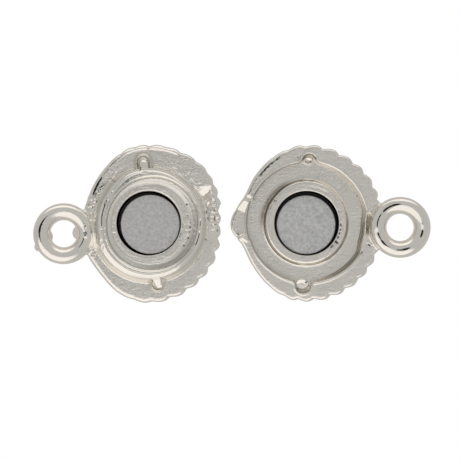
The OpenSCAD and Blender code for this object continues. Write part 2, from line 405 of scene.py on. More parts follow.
def turned_lines(x, y, top, rho):
    """Adds the lines that turning left on the seat."""
    deep = 0.004
    r = np.hypot(x, y)
    top = top + deep * np.cos(19.6 * r) * window(x, y, 190, 300, 30) * (r < 4.1)
    lines = np.sin(24 * r + 1.5 * np.sin(np.arctan2(3 * y, x)))
    return top + deep * lines * window(x, y, -50, 135, 40) * (rho < 4.3)


# Direction out of the pocket's lower wall
POCKET_WAY = (0.785, 0.619)


def plug_plate(x, y, top, rho):
    """Gives the plate outside the ring its burrs, its lean and its worn edge."""
    r = np.hypot(x, y)
    top = top + 0.05 * bell(r - 5.87, 0.06) * window(x, y, 52, 128, 20)
    # The plate leans a little near the loop
    rise = 0.025 * beyond(x, y, (-4.2, 5.2), (0.454, 0.891)) * window(x, y, 105, 150, 30)
    top = top + rise * smooth((rho - 5.9) / 0.4)
    # Edge: rolled at the upper side, worn towards the loop
    over = past_edge(x, y, PLUG_RADIUS)
    top = top + 0.05 * bell(over + 0.34, 0.1) * window(x, y, 58, 108, 20)
    top = top - 0.095 * np.clip(over + 0.47, 0, 0.5) * window(x, y, 129, 147, 8)
    # A burr along the edge of the pocket's lower wall
    burr = 0.024 * bell(beyond(x, y, (5.53, -1.8), POCKET_WAY), 0.07) * (y < -1.6)
    return top + burr * smooth((r - 5.95) / 0.3) * (x > 5)


def plug_pocket(x, y, top):
    """Cuts the pocket for the other half's loop: a bright facet above, and a slanting
    wall below."""
    upper = 0.5 * (2.98 - y)
    beside = beyond(x, y, (5.65, 1.86), (0.748, -0.664))
    shelf = np.maximum(upper - 0.68 * beside, np.minimum(upper, 0.05))
    upper = np.where((y > 1.0) & (beside > 0), shelf, upper)
    lower = 0.42 * beyond(x, y, (5.5, -1.8), POCKET_WAY)
    inner = 3.0 * (np.hypot(x, y) - 5.95 + 0.28 * smooth((y - 1.4) / 0.4))
    deep = np.minimum(np.minimum(upper, lower), np.minimum(inner, 0.55))
    return np.where((x > 4.5) & (deep > 0), np.minimum(top, -deep), top)


def plug_top(x, y):
    """Height of the plug's mating side, without its loop."""
    rho, past = ring_distance(x, y)
    top = round_crest(x, y, PLUG_PROFILE(rho), rho, past)
    top = turned_lines(x, y, top, rho)
    top = plug_plate(x, y, top, rho)
    top = np.maximum(top, np.where(y > 0, upper_finger(x, y), lower_finger(x, -y)))
    return plug_pocket(x, y, top)


def plug_field(shell, x, y, z):
    round_edge = 0.33 + 0.06 * window(x, y, 190, 262, 30) - 0.1 * window(x, y, 129, 147, 12)
    field = both(shell.field(x, y, z), below(plug_top, x, y, z), round_edge)
    # The shell's edge stands out under the loop, and shows through its hole
    field = join(field, ball(x, y, z, (-6.9, -0.1, -1.1), (0.85, 0.8, 0.9)), 0.25)
    # The loop leans, its far side the higher
    leaning = z + 0.06 * (x - PLUG_LOOP_X)
    field = join(field, wire_ring(x, y, leaning, PLUG_LOOP_X, [(140, 176)], (298, 350)), 0.3)
    # Remains of the casting: a nub outside the loop and a flash inside it
    field = join(field, ball(x, y, z, (-11.3, -1.0, -0.1), (0.34, 0.42, 0.3)), 0.12)
    field = join(field, ball(x, y, z, (-9.98, -0.05, -0.25), (0.3, 0.55, 0.3)), 0.1)
    return cut(field, bore(x, y, z, PLUG_SINK), 0.1 + 0.08 * window(x, y, 5, 95, 40))


# Height of the recess's wall, from 0 at its floor to 1, against the way across it
WALL = curve([
    (0, 0), (0.1, 0.05), (0.22, 0.3), (0.34, 0.56), (0.46, 0.64), (0.6, 0.7), (0.74, 0.88),
    (0.88, 0.97), (1, 1),
])

# Height of the boss round the bore against the distance from its middle
BOSS_PROFILE = curve([
    (3.0, -0.29), (3.45, -0.28), (3.84, -0.28), (3.94, -0.3), (4.02, -0.345), (4.08, -0.42),
    (4.12, -0.6), (4.15, -0.9), (4.19, -1.04), (4.26, -1.1), (4.36, -1.135),
    (4.5, -RECESS_DEPTH), (5.2, -RECESS_DEPTH),
])

# Notches for the other half's fingers: side, middle, half width, and fillet at the mouth
NOTCHES = ((1, -0.02, 0.73, 0.4), (-1, -0.07, 0.79, 0.36))


def recess(x, y):
    """Signed distance from the recess's edge at the mating face, and the wall's width."""
    edge = np.hypot(x - 0.12, y - 0.1) - 6.06 + 0.12 * window(x, y, 5, 55, 40)
    near_loop = window(x, y, -22, 10.5, 14)
    edge = edge + near_loop * (np.hypot(x, y) - 5.84 - edge)
    # The edge steps outward along the beak, after a small step inward
    edge = edge - 0.13 * window(x, y, 160.6, 198.2, 2.5) + 0.14 * window(x, y, 157.5, 160.4, 2.5)
    for sign, at_x, half_wide, fillet in NOTCHES:
        along = np.clip(sign * y, 4.5, 6.25)
        edge = join(edge, np.hypot(x - at_x, sign * y - along) - half_wide, fillet)
    width = 0.12 + 0.22 * window(x, y, -80, 75, 40) + 0.05 * window(x, y, -60, 12, 20)
    return edge, width


def notch_lumps(x, y):
    """Heights of the lumps of metal left in the recess's upper and lower notch."""
    d = np.hypot((x + 0.11) / 0.6, (y - 6.28) / 0.42)
    upper = -RECESS_DEPTH + 0.26 * smooth((1 - d) / 0.22)
    upper = upper - 0.13 * smooth((0.8 - d) / 0.65)
    d = np.hypot((x + 0.2) / 0.74, (y + 6.12) / 0.59)
    top = -0.62 - 0.3 * np.clip(-5.6 - y, 0, 0.45) - 0.17 * np.clip(-6.05 - y, 0, 0.7)
    lower = -RECESS_DEPTH + (top + RECESS_DEPTH) * smooth((1 - d) / 0.14)
    return np.where(y > 0, upper, lower)


def boss(x, y):
    """Height of the boss round the bore, its rim rounded over."""
    rho = np.hypot(x + 0.05, y) - 0.17 * window(x, y, 45, 125, 60)
    worn = 0.03 * bell(rho - 3.48, 0.12) * window(x, y, 58, 88, 12)
    return np.where(rho < 5.0, BOSS_PROFILE(rho) - worn, NO_METAL)


def socket_rim(x, y, top, edge):
    """Adds a burr outside the recess, and slopes the shell's edge where it is worn."""
    burr = 0.012 + 0.026 * window(x, y, 215, 330, 30) + 0.022 * window(x, y, 12, 102, 12)
    top = top + burr * bell(edge - 0.11, 0.07)
    over = past_edge(x, y, SOCKET_RADIUS)
    return top - 0.09 * np.clip(over + 0.5, 0, 0.5) * window(x, y, 114, 138, 8)


def socket_pocket(x, y, top, edge):
    """Cuts the beak's pocket for the other half's loop, with a facet at its upper side,
    a smaller one above it and a ridge below it."""
    upper = (1.98 - y - 0.3 * (x + 6.3)) * 0.46
    lower = (y + 1.57 - 0.6 * (x + 6.3)) * 2.0
    inner = (edge - 0.05) * 5.0
    deep = np.clip(np.minimum(np.minimum(upper, lower), np.minimum(inner, 0.5)), 0, None)
    top = np.where((x < -5.5) & (edge > -0.02), np.minimum(top, -deep), top)
    d = np.hypot((x + 5.95) / 0.28, (y - 2.22) / 0.24)
    top = top - 0.1 * np.exp(-d * d) * (edge > -0.02)
    off = beyond(x, y, (-6.3, -1.72), (0.55, 0.83))
    along = beyond(x, y, (-6.3, -1.72), (0.83, -0.55))
    return top + 0.07 * np.exp(-((off / 0.12) ** 2) - (along / 0.55) ** 4) * (edge > 0)


def loop_groove(x, y, top):
    """Cuts a narrow groove between the recess and the loop, with a burr along it."""
    across = np.abs(x - 6.12 - 0.05 * y) / (0.21 + 0.05 * y)
    groove = np.hypot(across, np.maximum(np.abs(y - 0.15) - 0.9, 0) / 0.25)
    burr = bell(x - 5.9, 0.05) * smooth((0.95 - np.abs(y - 0.45)) / 0.2)
    burr = burr * (0.7 + 0.3 * np.sin(9 * y))
    return top + 0.09 * burr - 0.28 * (1 - smooth(groove))


def socket_top(x, y):
    """Height of the socket's mating side, without its loop."""
    edge, width = recess(x, y)
    top = -RECESS_DEPTH * (1 - WALL(np.clip((edge + width) / width, 0, 1)))
    top = socket_rim(x, y, top, edge)
    top = np.maximum(top, boss(x, y))
    top = np.where(edge < -0.02, np.maximum(top, notch_lumps(x, y)), top)
    top = socket_pocket(x, y, top, edge)
    return loop_groove(x, y, top)


def socket_field(shell, x, y, z):
    field = both(shell.field(x, y, z), below(socket_top, x, y, z), 0.31)
    # The loop leans, its far side the higher, and is lifted all round but at that side
    a = angle_round(x - SOCKET_LOOP_X, y)
    lift = 0.12 * smooth(a / 100) * smooth((345 - a) / 60)
    leaning = z - 0.055 * (x - SOCKET_LOOP_X) - lift
    worn = [(100, 148), (185, 230), (252, 292), (327, 365)]
    field = join(field, wire_ring(x, y, leaning, SOCKET_LOOP_X, worn, (50, 60)), 0.22)
    return cut(field, bore(x, y, z, SOCKET_SINK), 0.1)


def spaced(*spans):
    """Values from span to span, each (end, step), starting at the first number."""
    values = [spans[0]]
    for end, step in spans[1:]:
        count = max(1, round(abs(end - values[-1]) / step))
        values.extend(np.linspace(values[-1], end, count + 1)[1:])
    return np.array(values)


def skin(field, radii, angles, heights):
    """Closed quad skin where the field is zero, on a grid round the Z axis. One
    point lies in each cell that the skin passes, and is then moved onto the skin."""
    turn = np.radians(angles)
    r, a, z = np.meshgrid(radii, turn, heights, indexing="ij")
    value = field(r * np.cos(a), r * np.sin(a), z).astype(np.float32)
    inside = value < 0
    nr, na, nz = value.shape
    across = np.roll(inside, -1, axis=1)
    count = np.zeros((nr - 1, na, nz - 1), np.int8)
    for block in (inside, across):
        for di in (0, 1):
            for dk in (0, 1):
                count += block[di : nr - 1 + di, :, dk : nz - 1 + dk]
    cells = np.argwhere((count > 0) & (count < 8))
    index = np.full(count.shape, -1, np.int64)
    index[tuple(cells.T)] = np.arange(len(cells))

    # Mean of the places where the skin crosses the cell's twelve edges
    turn_ext = np.append(turn, turn[0] + 2 * np.pi)
    corners = [(i, j, k) for i in (0, 1) for j in (0, 1) for k in (0, 1)]
    ci, cj, ck = cells.T
    at = {c: value[ci + c[0], (cj + c[1]) % na, ck + c[2]] for c in corners}
    place = {
        c: np.stack([radii[ci + c[0]], turn_ext[cj + c[1]], heights[ck + c[2]]], 1) for c in corners
    }
    total = np.zeros((len(cells), 3))
    hits = np.zeros(len(cells))
    for c in corners:
        for axis in range(3):
            if c[axis]:
                continue
            d = tuple(v + (n == axis) for n, v in enumerate(c))
            crossed = (at[c] < 0) != (at[d] < 0)
            t = at[c] / np.where(crossed, at[c] - at[d], 1)
            point = place[c] + t[:, None] * (place[d] - place[c])
            total += np.where(crossed[:, None], point, 0)
            hits += crossed
    polar = total / hits[:, None]
    r, a, z = polar.T
    points = np.stack([r * np.cos(a), r * np.sin(a), z], 1)

    # One quad round each grid edge that the skin crosses
    quads = []
    before = np.roll(index, 1, axis=1)

    def add(flip, *corners):
        q = np.stack(corners, 1)
        q = np.where(flip[:, None], q[:, ::-1], q)
        quads.append(q[(q >= 0).all(1)])

    i, j, k = np.nonzero(inside[:-1, :, 1:-1] != inside[1:, :, 1:-1])
    k += 1
    add(~inside[i, j, k], before[i, j, k - 1], index[i, j, k - 1], index[i, j, k], before[i, j, k])
    i, j, k = np.nonzero(inside[1:-1, :, 1:-1] != across[1:-1, :, 1:-1])
    i += 1
    k += 1
    add(~inside[i, j, k], index[i - 1, j, k - 1], index[i - 1, j, k], index[i, j, k], index[i, j, k - 1])
    i, j, k = np.nonzero(inside[1:-1, :, :-1] != inside[1:-1, :, 1:])
    i += 1
    add(~inside[i, j, k], before[i - 1, j, k], before[i, j, k], index[i, j, k], index[i - 1, j, k])
    quads = np.concatenate(quads)

    longest_move = 0.07
    for _ in range(3):
        f, grad = gradient(field, points)
        steep = (grad**2).sum(1)
        step = f / np.maximum(steep, 0.2)
        length = np.abs(step) * np.sqrt(steep)
        step *= np.minimum(1, longest_move / np.maximum(length, 1e-9))
        points = points - step[:, None] * grad
    return points, quads, cells


def gradient(field, points, h=0.006):
    """The field at each point, and how it changes along each axis."""
    x, y, z = points.T
    f = field(x, y, z)
    along_x = field(x + h, y, z) - field(x - h, y, z)
    along_y = field(x, y + h, z) - field(x, y - h, z)
    along_z = field(x, y, z + h) - field(x, y, z - h)
    grad = np.stack([along_x, along_y, along_z], 1) / (2 * h)
    return f, grad


def cap_axis(points, quads, cells):
    """Closes the skin where it meets the grid's axis, with a fan at each height."""
    inner = np.flatnonzero(cells[:, 0] == 0)
    fans, centres = [], []
    for level in np.unique(cells[inner, 2]):
        ring = inner[cells[inner, 2] == level]
        ring = ring[np.argsort(cells[ring, 1])]
        centre = len(points) + len(centres)
        centres.append([0, 0, points[ring, 2].mean()])
        # Only the fan in the shell's back faces down
        up = points[ring, 2].mean() > 0.5 - SHELL_DEPTH
        for n, v in enumerate(ring):
            w = ring[(n + 1) % len(ring)]
            fans.append((centre, v, w) if up else (centre, w, v))
    return np.concatenate([points, np.array(centres)]), fans


def add_object(name, data):
    obj = bpy.data.objects.new(name, data)
    bpy.context.scene.collection.objects.link(obj)
    return obj


def build(name, points, faces, at, turn, attributes):
    """An object from points in a half's own frame, with an attribute for each key."""
    mesh = bpy.data.meshes.new(name)
    c, s = math.cos(math.radians(turn)), math.sin(math.radians(turn))
    x, y, z = points.T
    world = np.stack([at[0] + c * x - s * y, at[1] + s * x + c * y, FACE_Z + z], 1)
    mesh.from_pydata((world * MM).tolist(), [], faces)
    mesh.validate()
    mesh.shade_smooth()
    for key, values in attributes.items():
        layer = mesh.attributes.new(key, "FLOAT", "POINT")
        layer.data.foreach_set("value", np.asarray(values, np.float32))
    return add_object(name, mesh)


def thin_back(obj, on_back, share=0.72):
    """Leaves that share of the triangles, taking them from the plain back, so that
    the mating side keeps all of its own."""
    group = obj.vertex_groups.new(name="back")
    group.add(np.flatnonzero(on_back).tolist(), 1.0, "REPLACE")
    modifier = obj.modifiers.new("thin", "DECIMATE")
    modifier.ratio = share
    modifier.vertex_group = group.name
    modifier.vertex_group_factor = 1000
    full = obj.data
    seen = obj.evaluated_get(bpy.context.evaluated_depsgraph_get())
    obj.data = bpy.data.meshes.new_from_object(seen)
    obj.modifiers.clear()
    obj.vertex_groups.clear()
    bpy.data.meshes.remove(full)
    obj.data.name = obj.name


def roughen(points, normals, amount, size, seed):
    """Moves points along their normals by a smooth noise of that size, in millimetres."""
    shift = np.zeros(len(points))
    for n in np.flatnonzero(amount > 1e-4):
        p = points[n] / size
        shift[n] = noise.noise(Vector((p[0] + seed, p[1], p[2])))
    return points + normals * (shift * amount)[:, None]


def marks(x, y, places):
    """Strength of small marks: place, half length, half width, turn and strength of each."""
    total = np.zeros(x.shape)
    for cx, cy, long, short, turn, strength in places:
        c, s = math.cos(math.radians(turn)), math.sin(math.radians(turn))
        u = (c * (x - cx) + s * (y - cy)) / long
        v = (c * (y - cy) - s * (x - cx)) / short
        total = np.maximum(total, strength * np.exp(-u * u - v * v))
    return total


# Pits and slits of the castings, in the form that marks takes; each is sunk a little and painted nearly black
# as shade
PLUG_PITS = [
    (6.69, 0.52, 0.14, 0.09, 90, 1), (6.6, -0.3, 0.34, 0.08, 88, 1), (6.62, -0.93, 0.1, 0.08, 0, 0.8),
    (5.86, 0.42, 0.12, 0.09, 20, 0.9), (5.93, -0.2, 0.26, 0.2, 60, 0.55), (6.52, 1.6, 0.12, 0.06, 40, 0.8),
    (6.72, -1.55, 0.12, 0.08, 60, 0.9), (5.49, -2.31, 0.16, 0.07, 70, 0.8),
    (6.31, 2.35, 0.2, 0.06, 48, 0.6), (4.01, 1.42, 0.12, 0.1, 0, 1), (4.05, -0.88, 0.14, 0.1, 80, 0.9),
    (3.74, -1.93, 0.14, 0.09, 60, 1), (3.22, -2.65, 0.11, 0.11, 0, 1), (3.02, -1.5, 0.22, 0.06, 64, 0.8),
    (3.95, -1.35, 0.12, 0.08, 70, 0.8), (3.9, 0.3, 0.12, 0.07, 90, 0.7), (3.48, -2.32, 0.12, 0.06, 50, 0.6),
    (4.42, -4.1, 0.14, 0.08, 40, 0.6), (3.84, -4.56, 0.1, 0.07, 40, 0.5), (-0.14, 5.5, 0.3, 0.06, 74, 1),
    (-3.2, 4.94, 0.11, 0.08, 40, 0.9), (-2.84, 4.53, 0.1, 0.08, 40, 0.8), (-4.12, 4.04, 0.09, 0.08, 0, 0.8),
    (-3.89, 2.75, 0.3, 0.06, 62, 0.8), (-4.89, 2.81, 0.22, 0.07, 66, 0.8), (-5.35, 2.3, 0.2, 0.07, 70, 0.8),
    (-4.55, 3.45, 0.16, 0.05, 52, 0.6), (-5.75, 2.6, 0.16, 0.07, 60, 0.7),
    (-6.36, -0.12, 0.17, 0.09, 80, 1), (-5.9, -0.12, 0.1, 0.05, 80, 0.7), (-5.45, -0.1, 0.1, 0.05, 80, 0.7),
    (-4.72, -0.1, 0.06, 0.06, 0, 0.9), (-4.42, 2.62, 0.22, 0.04, 62, 0.7),
    (4.17, -0.45, 0.16, 0.05, 84, 0.8), (4.2, -0.15, 0.1, 0.05, 88, 0.7),
    (2.98, -1.62, 0.5, 0.035, 61, 0.9), (3.36, -0.6, 0.34, 0.035, 80, 0.8),
    (-5.2, 3.0, 0.12, 0.06, 60, 0.8), (-5.0, 3.3, 0.14, 0.05, 58, 0.8),
]
SOCKET_PITS = [
    (6.33, -1.9, 0.2, 0.09, -35, 1), (5.57, -2.72, 0.3, 0.06, 62, 1), (5.54, -3.39, 0.1, 0.09, 0, 0.4),
    (4.97, 2.99, 0.09, 0.07, 0, 0.8), (-1.18, 6.55, 0.1, 0.08, 80, 0.9), (-3.97, 2.26, 0.1, 0.09, 0, 0.7),
    (-3.25, 2.12, 0.2, 0.06, 42, 1), (-3.66, 1.35, 0.34, 0.05, 72, 0.6), (0.22, -5.9, 0.13, 0.09, 35, 1),
    (3.43, 0.0, 0.2, 0.08, 90, 1), (3.4, -0.48, 0.14, 0.085, 82, 1), (3.32, -0.86, 0.16, 0.08, 76, 1),
    (3.19, -1.26, 0.2, 0.08, 69, 1), (2.97, -1.7, 0.22, 0.08, 60, 1), (3.14, -1.8, 0.17, 0.14, 60, 1),
    (2.62, -2.2, 0.28, 0.08, 50, 1), (3.15, 1.34, 0.14, 0.05, 113, 0.9), (3.36, 0.55, 0.12, 0.05, 99, 0.7),
    (-0.23, -6.08, 0.32, 0.05, -2, 0.6), (0.62, 6.6, 0.16, 0.06, -50, 0.8),
    (6.62, 2.15, 0.1, 0.06, 40, 0.6),
]


# Rough places of the castings: centre, radius, and strength of the noise
PLUG_ROUGH = [
    (-5.5, 2.4, 0.8, 0.06), (-5.9, 0.6, 0.6, 0.06), (6.4, 0.7, 0.9, 0.12), (6.35, -0.9, 0.7, 0.15),
    (-5.6, -2.2, 0.8, 0.045), (3.9, -1.0, 0.8, 0.035), (3.4, -2.4, 0.5, 0.025),
    (-4.6, 3.8, 1.0, 0.03), (5.3, 3.1, 0.5, 0.07), (4.5, 4.3, 0.5, 0.07), (3.3, 5.3, 0.5, 0.06),
    (1.9, 5.9, 0.5, 0.045), (-3.0, 5.2, 0.7, 0.03), (-3.7, -0.4, 0.8, 0.022),
    (-2.7, 2.6, 0.7, 0.014), (2.6, 2.8, 0.7, 0.012), (-3.6, 1.4, 0.6, 0.016), (0.0, 3.8, 0.7, 0.012),
    (0.8, -3.8, 0.7, 0.01),
]
SOCKET_ROUGH = [
    (-4.1, 1.6, 0.9, 0.02), (6.3, -1.6, 0.6, 0.03), (6.0, 0.9, 0.9, 0.02), (3.2, -1.4, 0.5, 0.02),
    (2.4, 3.3, 0.5, 0.012), (0.3, 3.8, 0.6, 0.006), (2.3, -3.0, 0.6, 0.012), (2.8, -4.2, 0.8, 0.01),
]


def grid(half):
    """Radii, angles and heights of the grid."""
    radii = spaced(
        0.35, (3.0, 0.45), (3.3, 0.075), (3.6, 0.05), (4.05, 0.09), (6.2, 0.055), (8.1, 0.095),
        (12.7, 0.13),
    )
    fine, middle, coarse = 0.55, 0.6, 0.86
    # Angle up to which a step runs: fine at the loop, middle at the fingers
    steps = [
        [(84, coarse), (96, middle), (156, coarse), (204, fine), (264, coarse), (276, middle), (360, coarse)],
        [(24, fine), (84, coarse), (96, middle), (264, coarse), (276, middle), (336, coarse), (360, fine)],
    ]
    angles = spaced(0.0, *steps[half])
    heights = spaced(-4.0, (-1.4, 0.15), (1.25, 0.068))
    return radii, angles[:-1], heights


def from_wire(half, x, y):
    """Distance in plan from the middle of the loop's wire."""
    return np.abs(np.hypot(x - (SOCKET_LOOP_X if half else PLUG_LOOP_X), y) - LOOP_MEAN_R)


def rough_amount(half, x, y, z, places, base_rough):
    """Strength of the noise at each point: none on the back, and little on the loop
    and on the plug's worn crest and edge."""
    rough = np.full(len(x), base_rough)
    for cx, cy, r, amount in places:
        rough += amount * np.exp(-((x - cx) ** 2 + (y - cy) ** 2) / (r * r))
    rough *= smooth((z + 1.6) / 0.6)
    calm = 0.9 * smooth((np.abs(x) - 6.25) / 0.2)
    calm = calm * smooth((1.1 - from_wire(half, x, y)) / 0.2)
    rough *= 1 - calm * (x > 0 if half else x < 0)
    if half == 0:
        calm = crest_worn(x, y) * (np.abs(ring_distance(x, y)[1]) < 0.25) * (z > 0.8)
        on_edge = past_edge(x, y, PLUG_RADIUS) > -0.55
        calm = np.maximum(calm, window(x, y, 128, 145, 4) * on_edge)
        rough *= 1 - 0.95 * calm
    return rough


def socket_surface(x, y, z, flat, gentle):
    """How satin the socket is, and how much brown painted shade it gets."""
    edge, width = recess(x, y)
    satin = np.where(edge < 0.3, gentle, flat)
    # Painted brown shade on the recess's wall, stronger on two stretches of it
    inside = smooth(-edge / 0.06) * smooth((edge + width + 0.06) / 0.06) * (z > -1.3)
    brown = 0.22 + 0.45 * window(x, y, 290, 372, 30) + 0.25 * window(x, y, 95, 175, 30)
    brown = brown * (np.abs(x) > 0.9) * (1 - 0.6 * window(x, y, 5, 80, 10) * (edge > -0.25))
    painted_shade = brown * inside
    # A dark line of painted shade under the recess's edge, and painted shade round the boss's foot
    line = bell(edge + 0.06, 0.06) * (z > -1.1)
    painted_shade = np.maximum(painted_shade, 0.95 * line * window(x, y, 80, 275, 20))
    ditch = bell(np.hypot(x + 0.05, y) - 4.42, 0.24)
    painted_shade = np.maximum(painted_shade, 0.7 * ditch * window(x, y, 118, 184, 24) * (z > -1.3))
    # Painted shade on the groove's wall
    from_groove = np.hypot(x - 6.14, np.maximum(np.abs(y - 0.15) - 0.85, 0))
    wall = smooth((0.34 - from_groove) / 0.2)
    painted_shade = np.maximum(painted_shade, 0.32 * wall * (z < 0.0) * (z > -0.8))
    return satin, painted_shade


def plug_surface(x, y, z, flat):
    """How satin the plug is, and how much brown painted shade it gets."""
    rho = ring_distance(x, y)[0]
    satin = np.where((rho < 4.4) & (z > -0.3), smooth((4.4 - rho) / 0.05), flat)
    satin = satin * (1 - crest_worn(x, y) * (rho > 4.7) * (rho < 5.2))
    # Painted brown shade in the ring's valley, round the seat and in the step on the ring
    painted_shade = 0.38 * bell(rho - 4.22, 0.18) * window(x, y, 262, 378, 40)
    valleys = 0.6 * bell(rho - 4.41, 0.04)
    valleys += 0.3 * bell(rho - 3.88, 0.05) * window(x, y, 60, 250, 40)
    step_sides = window(x, y, 55, 85, 10) + window(x, y, 230, 300, 20)
    valleys += 0.45 * bell(rho - 4.785, 0.035) * step_sides
    # Painted brown shade on the ring's outer side, strongest on the side towards the loop
    shoulder = smooth((rho - 5.18) / 0.1) * smooth((5.62 - rho) / 0.1)
    strength = 0.2 * window(x, y, 50, 125, 30) + 0.38 * window(x, y, 125, 200, 30)
    shoulder *= strength + 0.15 * window(x, y, 240, 355, 20)
    painted_shade = np.maximum(painted_shade, np.maximum(valleys, shoulder)) * (z > 0.05)
    # Lines of painted shade in the grooves round the feet of the fingers
    for sign in (1, -1):
        out = sign * y
        d = from_line(x, out, 0.2, 6.12)
        lines = 0.6 * bell(d - 0.58, 0.07) + 0.4 * bell(d - 0.93, 0.07)
        lines *= smooth((0.75 - x) / 0.3) if sign < 0 else 1
        painted_shade = np.maximum(painted_shade, lines * (out > 5.3) * (z > -0.05) * (z < 0.4))
    return satin, painted_shade


def cast_half(name, half, top_field, at, turn, rough_places, base_rough):
    """One casting: a closed skin with noise and pits, and what its material needs."""
    shell = Shell(half)

    def field(x, y, z):
        return top_field(shell, x, y, z)

    points, quads, cells = skin(field, *grid(half))
    _, normals = gradient(field, points)
    normals /= np.linalg.norm(normals, axis=1)[:, None]
    rough = rough_amount(half, *points.T, rough_places, base_rough)
    points = roughen(points, normals, rough, 0.16, 3.0)
    points = roughen(points, normals, rough * 0.8, 0.34, 17.0)
    points, fans = cap_axis(points, quads, cells)
    normals = np.concatenate([normals, np.tile([0, 0, 1.0], (len(points) - len(normals), 1))])

    x, y, z = points.T
    # Painted shade, nearly black: in the pits and slits, and down the bore, growing darker with depth
    pit = marks(x, y, SOCKET_PITS if half else PLUG_PITS) * (z > -1.3)
    in_bore = (np.hypot(x, y) < BORE_R + 0.03) & (z > 0.5 - SHELL_DEPTH)
    dark = np.where(in_bore, smooth((-z - 0.12) / 0.25), 0.0)
    dark = np.maximum(dark, smooth((pit - 0.3) / 0.4))
    # Each pit sinks its points, and z with them
    points[:, 2] -= 0.05 * pit
    on_wire = smooth((WIRE_R + 0.15 - from_wire(half, x, y)) / 0.2) * (z > 0.02)
    flat = smooth((normals[:, 2] - 0.9974) / 0.0018) * (1 - on_wire)
    gentle = smooth((normals[:, 2] - 0.95) / 0.03) * (1 - on_wire)
    if half:
        satin, painted_shade = socket_surface(x, y, z, flat, gentle)
    else:
        satin, painted_shade = plug_surface(x, y, z, flat)
    attributes = {"dark": dark, "satin": satin, "painted_shade": painted_shade}
    obj = build(name, points, quads.tolist() + fans, at, turn, attributes)
    thin_back(obj, (z < -0.6) & (normals[:, 2] < -0.05))
    return obj


def node(tree, kind, **values):
    """A shader node, in rows of six; values that start with in_ are those of inputs."""
    row, column = divmod(len(tree.nodes), 6)
    n = tree.nodes.new(kind)
    n.location = (250 * column - 1500, 400 - 350 * row)
    for key, value in values.items():
        if key.startswith("in_"):
            n.inputs[key[3:].replace("_", " ")].default_value = value
        else:
            setattr(n, key, value)
    return n


def new_material(name):
    material = bpy.data.materials.new(name)
    material.use_nodes = True
    tree = material.node_tree
    shader = tree.nodes["Principled BSDF"]
    shader.location = (200, 0)
    tree.nodes["Material Output"].location = (500, 0)
    return material, tree, shader


def object_place(tree, shift):
    """Place on the object, shifted so that each piece has its own part of a noise."""
    place = node(tree, "ShaderNodeTexCoord")
    mapping = node(tree, "ShaderNodeMapping", in_Location=shift)
    tree.links.new(place.outputs["Object"], mapping.inputs["Vector"])
    return mapping.outputs["Vector"]


def noise_value(tree, where, scale, detail, roughness):
    n = node(tree, "ShaderNodeTexNoise", in_Scale=scale, in_Detail=detail, in_Roughness=roughness)
    tree.links.new(where, n.inputs["Vector"])
    return n.outputs["Fac"]


def mix_colour(tree, factor, colour, second, blend="MIX"):
    """A colour into which the factor brings a second, fixed one."""
    n = node(tree, "ShaderNodeMix", data_type="RGBA", blend_type=blend, in_B=(*second, 1))
    tree.links.new(colour, n.inputs["A"])
    tree.links.new(factor, n.inputs["Factor"])
    return n.outputs["Result"]


def mix_number(tree, factor, low, high):
    """A number that runs from low to high with the factor."""
    n = node(tree, "ShaderNodeMapRange", in_To_Min=low, in_To_Max=high)
    tree.links.new(factor, n.inputs["Value"])
    return n.outputs["Result"]


def ramp(tree, factor, stops):
    """A colour from (position, colour) stops."""
    n = node(tree, "ShaderNodeValToRGB")
    while len(n.color_ramp.elements) < len(stops):
        n.color_ramp.elements.new(0.5)
    for element, (position, colour) in zip(n.color_ramp.elements, stops):
        element.position = position
        element.color = (*colour, 1)
    tree.links.new(factor, n.inputs["Fac"])
    return n.outputs["Color"]


def silver(name, satin_rough, polish_rough, grain, streak, tint, offset):
    """Silver plating on cast metal, satin and faintly streaked where the casting is flat, with brown painted
    shade in its corners and on some of its slopes, and nearly black painted shade in pits and down the bore."""
    material, tree, shader = new_material(name)
    link = tree.links.new
    place = object_place(tree, (offset, 0, 0))
    along = node(tree, "ShaderNodeMapping", in_Scale=(0.22, 1.0, 1.0), in_Rotation=(0, 0, 0.06))
    link(place, along.inputs["Vector"])
    satin, dark, painted_shade = (
        node(tree, "ShaderNodeAttribute", attribute_name=key).outputs["Fac"]
        for key in ("satin", "dark", "painted_shade")
    )
    cloud = noise_value(tree, place, 420, 4, 0.6)
    speck = noise_value(tree, place, 4600, 3, 0.6)
    lines = noise_value(tree, along.outputs["Vector"], 7600, 2, 0.5)

    plate = ramp(tree, cloud, [(0.3, tint[0]), (0.7, tint[1])])
    dull = mix_colour(tree, satin, plate, (0.935, 0.94, 0.945), "MULTIPLY")
    # Brown painted shade, then nearly black painted shade in pits and the bore, where the metal is also made
    # not metallic
    brown = mix_colour(tree, painted_shade, dull, (0.23, 0.19, 0.14))
    colour = mix_colour(tree, dark, brown, (0.012, 0.011, 0.01))
    link(colour, shader.inputs["Base Color"])
    link(mix_number(tree, dark, 1.0, 0.0), shader.inputs["Metallic"])

    rough = node(tree, "ShaderNodeMath", operation="ADD")
    link(mix_number(tree, satin, polish_rough, satin_rough), rough.inputs[0])
    link(mix_number(tree, speck, -0.03, 0.03), rough.inputs[1])
    link(rough.outputs["Value"], shader.inputs["Roughness"])

    first = node(tree, "ShaderNodeBump", in_Distance=0.00004)
    link(mix_number(tree, satin, *grain), first.inputs["Strength"])
    link(speck, first.inputs["Height"])
    second = node(tree, "ShaderNodeBump", in_Distance=0.00003)
    link(mix_number(tree, satin, 0.0, streak), second.inputs["Strength"])
    link(lines, second.inputs["Height"])
    link(first.outputs["Normal"], second.inputs["Normal"])
    link(second.outputs["Normal"], shader.inputs["Normal"])
    return material


